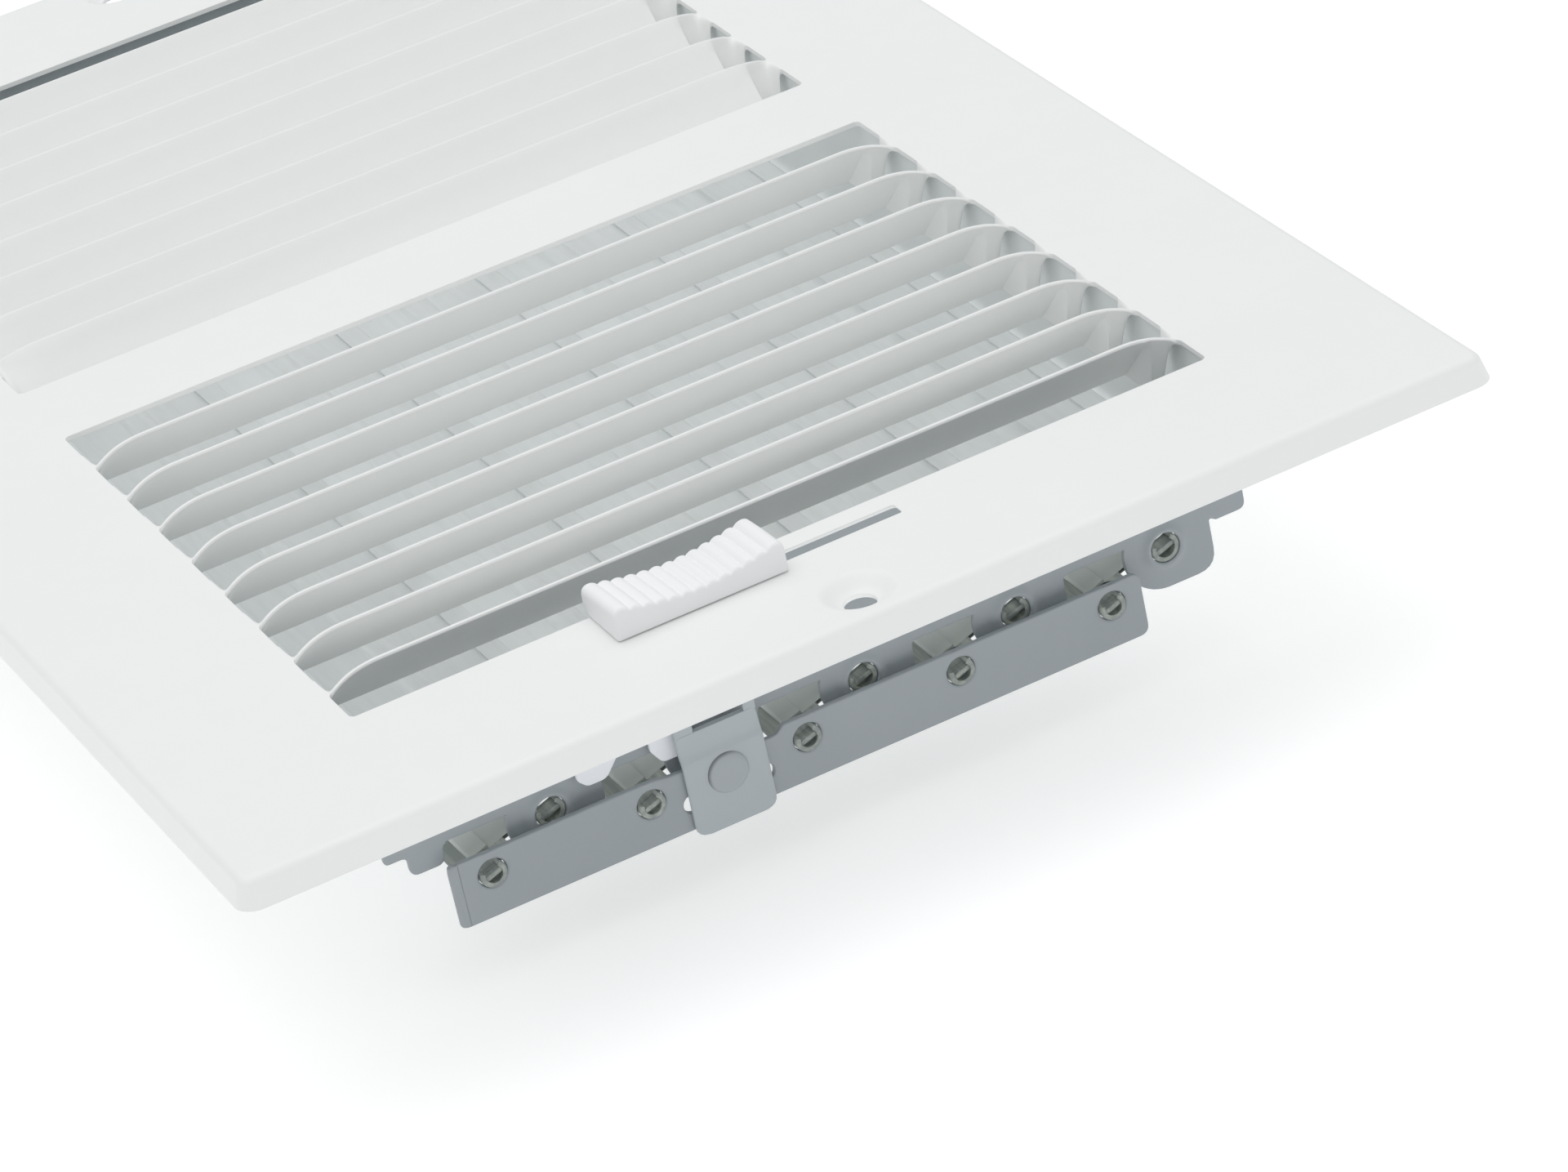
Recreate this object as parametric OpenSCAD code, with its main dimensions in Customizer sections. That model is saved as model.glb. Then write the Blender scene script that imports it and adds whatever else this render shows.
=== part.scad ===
// Two-way louvred ceiling and sidewall register with a multi-shutter damper.
// Origin: centre of the opening, in the plane of the wall that the rim rests on.
// +Z points out of the wall, X runs along the louvres, Y along the long side.

/* [Face] */
// Overall width of the face, across the short side
face_w = 196.85; // [190:0.05:210]
// Overall length of the face
face_l = 298.45; // [290:0.05:310]
// Height of the face above the wall
rim_h = 4.4; // [4:0.1:6]
// Lean of the rim's outer wall from upright, in degrees
rim_lean = 16; // [8:1:20]
// Plan radius of the rim's corners, at the wall
corner_r = 3.2; // [3:0.1:6]
// Thickness of the face sheet
face_t = 0.8; // [0.6:0.1:1]

/* [Louvres] */
// Length of each louvre slot
slot_l = 136.8; // [120:0.1:140]
// Width of each slot at its ends
slot_w = 8.2; // [7.6:0.1:8.6]
// Distance from one slot to the next
slot_pitch = 12.7; // [12.5:0.1:13]
// Number of slots in each bank
slot_n = 9; // [8:1:9]
// Half the width of the plain band between the banks
band_half = 9.5; // [9:0.1:12]
// Tilt of the louvre blades
louvre_tilt = 46; // [40:1:50]
// Height of a louvre's raised edge above the face
louvre_rise = 1.5; // [1.2:0.1:2]

/* [Fixing screws] */
// Distance between the two screw holes
screw_spacing = 281; // [278:0.5:284]
// Radius of the screw holes
screw_r = 2.4; // [2:0.1:2.6]

/* [Damper frame] */
// Half the distance between the outer faces of the end plates
plate_y = 121; // [120:0.1:122]
// Thickness of the end plates and side rails
plate_t = 0.8; // [0.7:0.1:0.9]
// Half the overall width of the damper frame
frame_x = 69.6; // [69.4:0.1:70]
// Height of the straight lower edge of the end plates
plate_z = -18.8; // [-19:0.1:-18.6]

/* [Damper blades] */
// Number of blades
blade_n = 5; // [3:2:5]
// Distance from one blade pivot to the next
blade_pitch = 25; // [24.9:0.1:25.1]
// Sideways position of the middle blade's pivot
pivot_x = 5.6; // [5.4:0.1:5.8]
// Height of the pivots
pivot_z = -20.9; // [-21.1:0.1:-20.7]
// Distance from a pivot to each long edge of its blade
wing = 12.75; // [12:0.05:12.8]
// Tilt of the blades from closed, as stored
rest_tilt = 19; // [15:1:25]
// Distance from a pivot to its crank pin
crank_r = 11.8; // [11.5:0.1:12]
// Thickness of the blade sheet
blade_t = 0.6; // [0.5:0.1:0.7]

/* [Thumb slider] */
// Position of the slider along the louvres
knob_x = -18.1; // [-18.5:0.1:-17.8]
// Length of the knob
knob_l = 26.8; // [26:0.1:28]
// Height of the knob's two ends
knob_h = 5.7; // [5:0.1:6]
// Depth of the hollow across the middle of the knob
knob_dip = 2.1; // [1.5:0.1:2.2]
// Number of grip ribs
rib_n = 12; // [8:1:14]

/* [Hidden] */
$fn = 64;

white = [0.93, 0.94, 0.93];
coated = [0.78, 0.81, 0.84];
eps = 0.01;

// Rim profile, measured outwards from the centre of a corner
bend_r = 1.6;
lean_tan = tan(rim_lean);
bend_x = corner_r - bend_r * cos(rim_lean) - (rim_h - bend_r + bend_r * sin(rim_lean)) * lean_tan;
corner_x = face_w / 2 - corner_r;
corner_y = face_l / 2 - corner_r;
under_z = rim_h - face_t;

// Louvre layout: slots are counted from the outer end of a bank
field_y = band_half + (slot_n - 1) * slot_pitch + slot_w;
louvre_w = slot_pitch;
slot_corner = 0.9;
twist_l = 8;
finger_l = 4;

// Slider slot and the plane that the slider works in
slider_y = -124.5;
slide_slot_x0 = -27;
slide_slot_x1 = 14.8;
slide_slot_w = 2.8;
knob_y0 = -129;
knob_y1 = -117.6;
knob_gap = 0.25;
knob_wall = 1.2;
tongue_x = -18.2;

// Stack of the linkage, from the front of the damper
strap_y = -125;
strap_t = 1;
bar_y = strap_y + strap_t;
bar_t = 1;
pivot_hole_r = 2.4;
pin_clear = 0.07;
crank_hole_r = 2.2;
collar_r = 3.2;
collar_t = 0.6;
blade_y = 119;
lobe_r = 6.7;
lobe_reach = 8.5;
tab_in = 7.2;
tab_out = 15.6;
flare_y = 110;
crank_x = -crank_r * cos(rest_tilt);
crank_z = -crank_r * sin(rest_tilt);
pin_z = pivot_z + crank_z;
bar_z0 = pin_z - 6.8;
bar_z1 = pin_z + 3.5;
bar_x0 = -61.8;
bar_x1 = 49.6;
strap_x = -18.7;
strap_w = 13;
strap_z0 = -32.6;
strap_z1 = -1.2;
notch_z = -15.5;
notch_w = 8;
hook_l = 14.5;
hook_w = 2.8;
hook_z = pin_z - 2.65;
rivet_z = pin_z + 0.6;
corner_rivet_x = 64.8;
corner_rivet_z = -8;
corner_rivet_r = 1.6;

function pivot(i) = pivot_x + (i - (blade_n + 1) / 2) * blade_pitch;
function arc(cx, cy, r, a0, a1, n = 6) =
    [for (k = [0:n]) [cx + r * cos(a0 + (a1 - a0) * k / n), cy + r * sin(a0 + (a1 - a0) * k / n)]];

// Outlines drawn flat

module rounded(x0, y0, x1, y1, r) {
    translate([x0 + r, y0]) square([x1 - x0 - 2 * r, y1 - y0]);
    translate([x0, y0 + r]) square([x1 - x0, y1 - y0 - 2 * r]);
    for (x = [x0 + r, x1 - r], y = [y0 + r, y1 - r])
        translate([x, y]) circle(r);
}

// Slot with round ends that starts at the origin and runs along X
module oblong(l, w) {
    translate([w / 2, -w / 2]) square([l - w, w]);
    for (x = [w / 2, l - w / 2]) translate([x, 0]) circle(w / 2);
}

module rim_profile(reach) {
    inner_r = bend_r - face_t;
    wall_out = bend_x + bend_r * cos(rim_lean);
    wall_in = bend_x + inner_r * cos(rim_lean);
    foot_in = wall_in + (rim_h - bend_r + inner_r * sin(rim_lean)) * lean_tan;
    polygon(concat(
        [[corner_r, 0]],
        arc(bend_x, rim_h - bend_r, bend_r, rim_lean, 90),
        [[bend_x - reach, rim_h], [bend_x - reach, under_z]],
        arc(bend_x, rim_h - bend_r, inner_r, 90, rim_lean),
        [[foot_in, 0]]));
}

// Upright plate drawn in X and Z, with its front at y
module upright(y, t) {
    translate([0, y + t, 0]) rotate([90, 0, 0]) linear_extrude(t) children();
}

// Ring or pin along Y
module along_y(y, r, l) {
    translate([0, y + l, 0]) rotate([90, 0, 0]) cylinder(r = r, h = l);
}

// Face

module rim() {
    reach = 0.4;
    for (sx = [-1, 1], sy = [-1, 1])
        translate([sx * corner_x, sy * corner_y, 0])
            rotate([0, 0, sx > 0 ? (sy > 0 ? 0 : -90) : (sy > 0 ? 90 : 180)])
                rotate_extrude(angle = 90) rim_profile(reach);
    for (s = [-1, 1]) {
        translate([s * corner_x, 0, 0]) rotate([0, 0, s > 0 ? 0 : 180])
            rotate([90, 0, 0]) translate([0, 0, -corner_y]) linear_extrude(2 * corner_y) rim_profile(reach);
        translate([0, s * corner_y, 0]) rotate([0, 0, s > 0 ? 90 : -90])
            rotate([90, 0, 0]) translate([0, 0, -corner_x]) linear_extrude(2 * corner_x) rim_profile(reach);
    }
}

module bank_openings() {
    half = slot_l / 2;
    for (i = [0:slot_n - 1])
        rounded(-half, -field_y + i * slot_pitch, half, -field_y + i * slot_pitch + slot_w, slot_corner);
    translate([-half + finger_l, -field_y]) square([slot_l - 2 * finger_l, field_y - band_half]);
}

module louvre_strip(half_l, tilt, near, far) {
    rotate([-tilt, 0, 0]) translate([-half_l, -near, -face_t / 2]) cube([2 * half_l, near + far, face_t]);
}

// One louvre: a flat strip at full tilt, with a half-tilted stretch at each end that meets its neck
module louvre() {
    near = (louvre_rise + face_t / 2) / sin(louvre_tilt);
    half = slot_l / 2 - finger_l;
    louvre_strip(half - twist_l + 0.4, louvre_tilt, near, louvre_w - near);
    intersection() {
        louvre_strip(half + 0.5, louvre_tilt / 2, 2.5, 5.6);
        for (s = [-1, 1]) translate([s * (half - twist_l / 2 + 0.25), 0, 0])
            cube([twist_l + 0.5, 4 * louvre_w, 4 * louvre_w], center = true);
    }
}

module bank_louvres() {
    for (i = [0:slot_n - 2])
        translate([0, -field_y + i * slot_pitch + slot_w + slot_pitch / 4, rim_h - face_t / 2]) louvre();
}

module screw_dimple() {
    rotate_extrude() polygon([
        [screw_r, 1.9], [3.3, 1.9], [5.4, under_z], [5.7, under_z],
        [5.7, rim_h], [4.9, rim_h], [2.9, 2.7], [screw_r, 2.7]]);
}

module face_plate() color(white) {
    rim();
    translate([0, 0, under_z]) linear_extrude(face_t) difference() {
        rounded(-corner_x - bend_x, -corner_y - bend_x, corner_x + bend_x, corner_y + bend_x, bend_x);
        bank_openings();
        mirror([0, 1]) bank_openings();
        translate([slide_slot_x0, slider_y - slide_slot_w / 2])
            square([slide_slot_x1 - slide_slot_x0, slide_slot_w]);
        for (s = [-1, 1]) translate([0, s * screw_spacing / 2]) circle(5.3);
    }
    for (s = [-1, 1]) translate([0, s * screw_spacing / 2, 0]) screw_dimple();
    bank_louvres();
    mirror([0, 1, 0]) bank_louvres();
}

// Damper frame

module end_plate_outline() {
    difference() {
        union() {
            translate([-frame_x, plate_z]) square([2 * frame_x, under_z - plate_z]);
            for (i = [1:blade_n]) translate([pivot(i), pivot_z]) circle(lobe_r);
            for (i = [1:blade_n - 1]) rounded(pivot(i), -24.6, pivot(i) + lobe_reach, plate_z + 3, 1.5);
            rounded(62, -20.2, frame_x, plate_z + 3, 0.8);
            rounded(-66.2, -22.1, -60.8, plate_z + 3, 1.2);
            rounded(pivot(blade_n) - 4.6, -27.7, 63.4, plate_z + 5, 3);
        }
        for (i = [1:blade_n]) translate([pivot(i), pivot_z]) circle(pivot_hole_r);
        for (s = [-1, 1]) translate([s * corner_rivet_x, corner_rivet_z]) circle(corner_rivet_r);
    }
}

// End plate with collars on the pivot holes and two feet under the face; side is -1 at the front
module end_plate(side) color(coated) {
    face_y = side * plate_y;
    deep = collar_t + plate_t / 2;
    upright(side > 0 ? face_y - plate_t : face_y, plate_t) end_plate_outline();
    for (i = [1:blade_n]) translate([pivot(i), 0, pivot_z]) difference() {
        along_y(side > 0 ? face_y - plate_t / 2 : face_y - collar_t, collar_r, deep);
        along_y(face_y - 2, pivot_hole_r, 4);
    }
    for (x = [[-66, 18], [22, 40]])
        translate([x[0], side > 0 ? face_y - plate_t / 2 : face_y - 7, under_z - plate_t])
            cube([x[1], 7 + plate_t / 2, plate_t]);
}

module front_end_plate() end_plate(-1);

module rear_end_plate() end_plate(1);

// Side rail: an upright web, a lip along the bottom and a tab at each end for the corner rivets
module side_rail(lip) {
    rail_l = 2 * (plate_y - plate_t);
    web_t = 0.7;
    tab_w = 9.6;
    tab_z0 = -16;
    translate([-frame_x, -rail_l / 2, plate_z]) cube([web_t, rail_l, under_z - plate_z]);
    translate([-frame_x, -rail_l / 2, plate_z]) cube([lip, rail_l, web_t]);
    for (s = [-1, 1]) difference() {
        translate([-frame_x, s > 0 ? rail_l / 2 - web_t : -rail_l / 2, tab_z0])
            cube([tab_w, web_t, under_z - tab_z0]);
        translate([-corner_rivet_x, s * rail_l / 2, corner_rivet_z])
            along_y(-2, corner_rivet_r, 4);
    }
}

module left_side_rail() color(coated) side_rail(11.9);

module right_side_rail() color(coated) mirror([1, 0, 0]) side_rail(0.7);

// Four rivets with a domed head outside and a rolled end inside
module frame_rivets() color(coated)
    for (sx = [-1, 1], sy = [-1, 1])
        translate([sx * corner_rivet_x, sy * plate_y, corner_rivet_z])
            rotate([sy > 0 ? -90 : 90, 0, 0]) {
                grip = plate_t + 0.7;
                translate([0, 0, -grip - 0.6]) cylinder(r = corner_rivet_r, h = grip + 0.8);
                intersection() {
                    translate([0, 0, -2.6]) sphere(3.7);
                    cylinder(r = 3, h = 3);
                }
                translate([0, 0, -grip - 0.6]) cylinder(r = 2.4, h = 0.6);
            }

// Damper blades, drawn flat with the pivot at the origin

// Sheet section: flat wings, a half-round bead on the pivot line and a folded hem on each edge
module blade_section() {
    bead_r = 2;
    hem_w = 3;
    difference() {
        union() {
            translate([-wing, -blade_t / 2]) square([2 * wing, blade_t]);
            circle(bead_r);
        }
        circle(bead_r - blade_t);
        translate([-wing, -wing - blade_t / 2]) square([2 * wing, wing]);
    }
    for (s = [-1, 1]) translate([s > 0 ? wing - hem_w : -wing, -blade_t / 2])
        square([hem_w, 2 * blade_t]);
}

// Rolled tongue: the lower part of a tube, joined to the sheet by its two edges
module rolled_tongue(y0, y1, r) {
    wall = 0.8;
    upright(y0, y1 - y0) difference() {
        circle(r);
        circle(r - wall);
        translate([-r, blade_t / 2]) square([2 * r, r]);
    }
}

module crank_tab() {
    root_l = 0.5;
    tab_y0 = bar_y + bar_t + 0.4;
    translate([-tab_out, tab_y0, -blade_t / 2])
        cube([tab_out - tab_in, -blade_y - 0.5 - tab_y0, blade_t]);
    translate([-wing, tab_y0, -blade_t / 2])
        cube([wing - tab_in, -blade_y + root_l - tab_y0, blade_t]);
    translate([0, 0, -blade_t / 2]) linear_extrude(blade_t)
        polygon([
            [-tab_out, -blade_y - 0.6],
            [-wing + 1, -blade_y - 0.6],
            [-wing + 1, -flare_y],
            [-tab_out, -flare_y - 2]
        ]);
    translate([-crank_r, 0, 0])
        rolled_tongue(strap_y + 0.5, tab_y0 + 0.3, crank_hole_r - pin_clear);
}

module damper_blade(i) color(coated)
    translate([pivot(i), 0, pivot_z]) rotate([0, -rest_tilt, 0]) {
        end_l = plate_y + collar_t - 0.1;
        upright(-blade_y, 2 * blade_y) blade_section();
        rolled_tongue(-end_l, -blade_y + 0.6, pivot_hole_r - pin_clear);
        rolled_tongue(blade_y - 0.6, end_l, pivot_hole_r - pin_clear);
        crank_tab();
    }

// Linkage

module link_bar() color(coated)
    upright(bar_y, bar_t) difference() {
        rounded(bar_x0, bar_z0, bar_x1, bar_z1, 1.2);
        for (i = [1:blade_n]) translate([pivot(i) + crank_x, pin_z]) circle(crank_hole_r);
        translate([strap_x, rivet_z]) circle(1.4);
        translate([strap_x - hook_l / 2, hook_z]) oblong(hook_l, hook_w);
    }

// Strap that rises from the link bar towards the face, forked at the top for the slider's tongue
module operating_strap() color(coated)
    upright(strap_y, strap_t) difference() {
        rounded(strap_x - strap_w / 2, strap_z0, strap_x + strap_w / 2, strap_z1, 1.2);
        translate([tongue_x - notch_w / 2, notch_z]) square([notch_w, strap_z1 - notch_z + 1]);
        translate([strap_x, rivet_z]) circle(1.4);
    }

module strap_rivet() color(coated)
    translate([strap_x, 0, rivet_z]) {
        along_y(strap_y - 0.5, 3.3, 0.5);
        along_y(strap_y - eps, 1.4, strap_t + bar_t + 2 * eps);
        along_y(bar_y + bar_t, 2.2, 0.5);
    }

// Thumb slider

// Side view of the knob: a hollow curve between rounded ends, with half-round grip ribs
function knob_top(u) = knob_h - knob_dip * (1 - pow(2 * abs(u), 1.7)) + 0.22 * cos(360 * rib_n * u);

module knob_side() {
    end_r = 1.1;
    n = 8 * rib_n;
    half = knob_l / 2;
    polygon(concat(
        [[-half, knob_gap]],
        arc(-half + end_r, knob_h - end_r, end_r, 180, 110, 4),
        [for (k = [1:n - 1]) if (abs(k / n - 0.5) < 0.46)
            [knob_l * (k / n - 0.5), knob_top(k / n - 0.5)]],
        arc(half - end_r, knob_h - end_r, end_r, 70, 0, 4),
        [[half, knob_gap]]));
}

// Hollow knob with a stem through the face and a tongue that reaches into the strap's fork
module thumb_slider() color(white) {
    hollow_z = rim_h + knob_h - knob_dip - knob_wall - 0.4;
    tongue_z = -12.2;
    stem_z = 2.1;
    difference() {
        translate([knob_x, 0, rim_h]) upright(knob_y0, knob_y1 - knob_y0) knob_side();
        translate([knob_x - knob_l / 2 + knob_wall, knob_y0 + knob_wall, rim_h])
            cube([knob_l - 2 * knob_wall, knob_y1 - knob_y0 - 2 * knob_wall, hollow_z - rim_h]);
    }
    translate([tongue_x - 3, slider_y - 1.1, stem_z]) cube([6, 2.2, hollow_z - stem_z + 0.4]);
    translate([tongue_x - 1.5, slider_y - 1.1, tongue_z]) cube([3, 2.2, stem_z - tongue_z + 0.4]);
}

// Sheet clip under the face: a bridge on the slider's stem and two rounded legs
module slider_retainer() color(white) {
    bridge_z = 2.3;
    leg_y = -122.65;
    t = 0.7;
    difference() {
        translate([-41.4, slider_y - 2.6, bridge_z]) cube([29.4, leg_y + t - slider_y + 2.6, t]);
        translate([tongue_x - 3.05, slider_y - 1.15, bridge_z - 1]) cube([6.1, 2.3, t + 2]);
    }
    for (leg = [[-40, -31, plate_z], [-28.5, -22, -20]])
        upright(leg_y, t) rounded(leg[0], leg[2], leg[1], bridge_z + t, 1.6);
}

face_plate();
front_end_plate();
rear_end_plate();
left_side_rail();
right_side_rail();
frame_rivets();
damper_blade(1);  // damper_blade_1
damper_blade(2);  // damper_blade_2
damper_blade(3);  // damper_blade_3
damper_blade(4);  // damper_blade_4
damper_blade(5);  // damper_blade_5
link_bar();
operating_strap();
strap_rivet();
thumb_slider();
slider_retainer();
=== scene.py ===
import math
import bmesh
import bpy
from mathutils import Matrix, Vector
from mathutils.geometry import tessellate_polygon


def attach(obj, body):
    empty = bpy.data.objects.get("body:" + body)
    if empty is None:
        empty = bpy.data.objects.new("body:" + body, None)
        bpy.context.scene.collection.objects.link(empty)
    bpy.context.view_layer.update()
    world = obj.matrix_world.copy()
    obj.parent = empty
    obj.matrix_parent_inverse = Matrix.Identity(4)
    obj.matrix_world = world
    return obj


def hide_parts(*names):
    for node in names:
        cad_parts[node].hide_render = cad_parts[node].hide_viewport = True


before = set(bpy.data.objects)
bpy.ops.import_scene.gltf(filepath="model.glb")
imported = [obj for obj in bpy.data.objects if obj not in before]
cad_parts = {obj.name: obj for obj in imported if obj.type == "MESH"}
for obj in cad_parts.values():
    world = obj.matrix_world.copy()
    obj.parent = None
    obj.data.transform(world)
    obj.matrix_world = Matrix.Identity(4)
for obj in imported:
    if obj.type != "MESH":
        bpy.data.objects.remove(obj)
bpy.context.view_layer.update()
scene = bpy.context.scene
MM = 0.001
TAU = 2 * math.pi

# ---------------------------------------------------------------- dimensions, in millimetres at rest
# Face: half its width and length, corner radius, height of its top over the wall, sheet thickness
HALF_W, HALF_L, CORNER_R = 98.425, 149.225, 3.2
CORNER_X, CORNER_Y = HALF_W - CORNER_R, HALF_L - CORNER_R
ZF, T = 4.4, 0.8
UNDER = ZF - T

# Louvre banks: half the slots' length, slot width and pitch, half the band between the banks
SLOT_HALF, SLOT_W, PITCH, BAND = 68.4, 8.2, 12.7, 9.5
SLOT_R = 0.9
LOUVRES = 8
FIELD_Y = BAND + LOUVRES * PITCH + SLOT_W

# Slider slot
SLIDE_Y = -124.5
SLIDE_X0, SLIDE_X1, SLIDE_HALF = -27, 14.8, 1.4

# Screw holes
SCREW_Y, DIMPLE_R = 140.5, 5.75

# Damper: top of its sheets, outer faces and lower edge of its frame, end sheet thickness, corner rivets
SEAT_Z = UNDER - 0.02
PLATE_X, PLATE_Y, PLATE_Z, PLATE_T = 69.6, 121.0, -18.8, 0.8
RIVET_X, RIVET_Z = 64.8, -8

# Blades: pivot places, the end plates' lobes, collars and holes round them, tilt at rest, half width
BLADES, BLADE_PITCH, MIDDLE_PIVOT_X = 5, 25, 5.6
PIVOTS = [MIDDLE_PIVOT_X + BLADE_PITCH * (i - 2) for i in range(BLADES)]
PIVOT_Z, LOBE_R, COLLAR_R, PIVOT_HOLE_R = -20.9, 6.7, 4.6, 2.4
TILT = math.radians(19)
WING_HALF = 12.75

# Linkage: crank radius, crank pins' offset and height, middles of strap, tongue, knob and bar, rivet head
CRANK_R = 11.8
PIN_DX, PIN_Z = -CRANK_R * math.cos(TILT), PIVOT_Z - CRANK_R * math.sin(TILT)
STRAP_X, TONGUE_X, KNOB_X = -18.7, -18.2, -18.1
BAR_Y, STRAP_Y = -123.5, -124.5
HEAD_Z, HEAD_R = PIN_Z + 0.6, 3.22

# Floor, below the strap's lowest place when the damper is open
FLOOR_Z = -43


# ---------------------------------------------------------------- camera
def add_camera():
    """The photo's viewpoint, over the near left corner: a long lens about a metre away."""
    cam = bpy.data.cameras.new("camera")
    cam.sensor_width = 36.0
    cam.lens = 152.6
    cam.clip_start, cam.clip_end = 0.05, 50
    ob = bpy.data.objects.new("camera", cam)
    ob.location = Vector((-293.2, -881.2, 450.2)) * MM
    ob.rotation_euler = [math.radians(a) for a in (60.35, 10.85, -27.01)]
    scene.collection.objects.link(ob)
    scene.camera = ob


add_camera()


# ---------------------------------------------------------------- materials
def node(nt, kind, **props):
    n = nt.nodes.new(kind)
    for k, v in props.items():
        setattr(n, k, v)
    return n


def put(n, values):
    for k, v in values.items():
        n.inputs[k].default_value = v


def calc(nt, op, a, b=None):
    m = node(nt, "ShaderNodeMath", operation=op)
    for sock, value in ((m.inputs[0], a), (m.inputs[1], b)):
        if isinstance(value, (int, float)):
            sock.default_value = value
        elif value is not None:
            nt.links.new(value, sock)
    return m.outputs["Value"]


def noise(nt, coord, scale, detail=3.0, rough=0.5, stretch=None):
    n = node(nt, "ShaderNodeTexNoise")
    put(n, {"Scale": scale, "Detail": detail, "Roughness": rough})
    if stretch:
        m = node(nt, "ShaderNodeMapping")
        put(m, {"Scale": stretch})
        nt.links.new(coord, m.inputs["Vector"])
        coord = m.outputs["Vector"]
    nt.links.new(coord, n.inputs["Vector"])
    return n.outputs["Fac"]


def ramp(nt, fac, lo, hi, a, b):
    r = node(nt, "ShaderNodeMapRange")
    put(r, {"From Min": lo, "From Max": hi, "To Min": a, "To Max": b})
    nt.links.new(fac, r.inputs["Value"])
    return r.outputs["Result"]


def mix(nt, fac, a, b):
    m = node(nt, "ShaderNodeMix", data_type="RGBA")
    for sock, value in ((m.inputs["A"], a), (m.inputs["B"], b)):
        if isinstance(value, tuple):
            sock.default_value = (*value, 1)
        else:
            nt.links.new(value, sock)
    nt.links.new(fac, m.inputs["Factor"])
    return m.outputs["Result"]


def multiply(nt, a, b):
    return calc(nt, "MULTIPLY", a, b)


def painted_groove_shadow(nt, xyz, cx, cz, r):
    """Mask of a painted shadow: a dark crescent inside the upper left rim of a round head of radius r at cx,
    cz, in metres.
    """
    dx = calc(nt, "SUBTRACT", xyz.outputs["X"], cx)
    dz = calc(nt, "SUBTRACT", xyz.outputs["Z"], cz)
    r2 = calc(nt, "ADD", multiply(nt, dx, dx), multiply(nt, dz, dz))
    rim = ramp(nt, calc(nt, "SQRT", r2), r - 0.0005, r - 0.0001, 0, 1)
    side = ramp(nt, calc(nt, "SUBTRACT", dz, dx), 0.0005, 0.0030, 0.12, 0.95)
    return multiply(nt, rim, side)


def edge_wear(nt, where, rounded_normal, amount):
    """Mask of patchy wear along sharp edges, where the bevelled normal leaves the true one."""
    geo = node(nt, "ShaderNodeNewGeometry")
    dot = node(nt, "ShaderNodeVectorMath", operation="DOT_PRODUCT")
    nt.links.new(rounded_normal, dot.inputs[0])
    nt.links.new(geo.outputs["Normal"], dot.inputs[1])
    edge = ramp(nt, dot.outputs["Value"], 0.97, 0.80, 0, 1)
    patch = ramp(nt, noise(nt, where, 700, 4, 0.7), 0.5, 0.7, 0, amount)
    return multiply(nt, edge, patch)


def bumped(nt, height, normal, strength, distance):
    bump = node(nt, "ShaderNodeBump")
    put(bump, {"Strength": strength, "Distance": distance})
    nt.links.new(height, bump.inputs["Height"])
    nt.links.new(normal, bump.inputs["Normal"])
    return bump.outputs["Normal"]


def coated(name, base, shade, rough=0.42, peel=0.35, peel_scale=1500, wave=0.06, reflection_streak=None, worn=0.0,
           specular=0.5, edge_r=0.00018, ends=None, groove_shadow=None):
    """Paint or plastic: slow colour drift, fine orange peel, soft sheet edges and a little wear on them.
    Painted light: the streak colour paints reflection streaks along Y, the ends colour paints shade on a
    blade towards its ends, and the groove place paints a shadow crescent inside a rivet head's upper left
    rim."""
    mat = bpy.data.materials.new(name)
    mat.use_nodes = True
    nt = mat.node_tree
    nt.nodes.clear()
    out = node(nt, "ShaderNodeOutputMaterial")
    bsdf = node(nt, "ShaderNodeBsdfPrincipled")
    put(bsdf, {"Specular IOR Level": specular})
    nt.links.new(bsdf.outputs["BSDF"], out.inputs["Surface"])
    where = node(nt, "ShaderNodeTexCoord").outputs["Object"]
    drift = noise(nt, where, 22, 4, 0.6)
    mottle = noise(nt, where, 260, 3, 0.6)
    colour = mix(nt, ramp(nt, drift, 0.3, 0.7, 0, 1), base, shade)
    colour = mix(nt, ramp(nt, mottle, 0.25, 0.8, 0, 0.35), colour, tuple(c * 0.955 for c in base))
    # Painted reflection: streaks stretched along Y
    if reflection_streak:
        reflection_lines = noise(nt, where, 1.0, 5, 0.65, (900, 60, 900))
        colour = mix(nt, ramp(nt, reflection_lines, 0.42, 0.66, 0, 0.75), colour, reflection_streak)
    if ends or groove_shadow:
        xyz = node(nt, "ShaderNodeSeparateXYZ")
        nt.links.new(where, xyz.inputs["Vector"])
    # Painted shade: a blade's wing darkens towards its ends, which lie in shadow under the face
    if ends:
        far = calc(nt, "ABSOLUTE", xyz.outputs["Y"])
        colour = mix(nt, ramp(nt, far, 0.104, 0.117, 0, 0.9), colour, ends)
    # Painted shadow: a dark crescent inside a rivet head's upper left rim
    if groove_shadow:
        colour = mix(nt, painted_groove_shadow(nt, xyz, *groove_shadow), colour, (0.10, 0.115, 0.125))
    bevel = node(nt, "ShaderNodeBevel", samples=4)
    put(bevel, {"Radius": edge_r})
    if worn:
        wear = edge_wear(nt, where, bevel.outputs["Normal"], worn)
        colour = mix(nt, wear, colour, (0.36, 0.37, 0.38))
    nt.links.new(colour, bsdf.inputs["Base Color"])
    gloss = ramp(nt, noise(nt, where, 120, 4, 0.6), 0.25, 0.75, rough - 0.05, rough + 0.07)
    nt.links.new(gloss, bsdf.inputs["Roughness"])
    fine = bumped(nt, noise(nt, where, peel_scale, 2, 0.5), bevel.outputs["Normal"], peel, 0.00006)
    broad = bumped(nt, noise(nt, where, 28, 2, 0.5), fine, wave, 0.002)
    nt.links.new(broad, bsdf.inputs["Normal"])
    return mat


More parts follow.
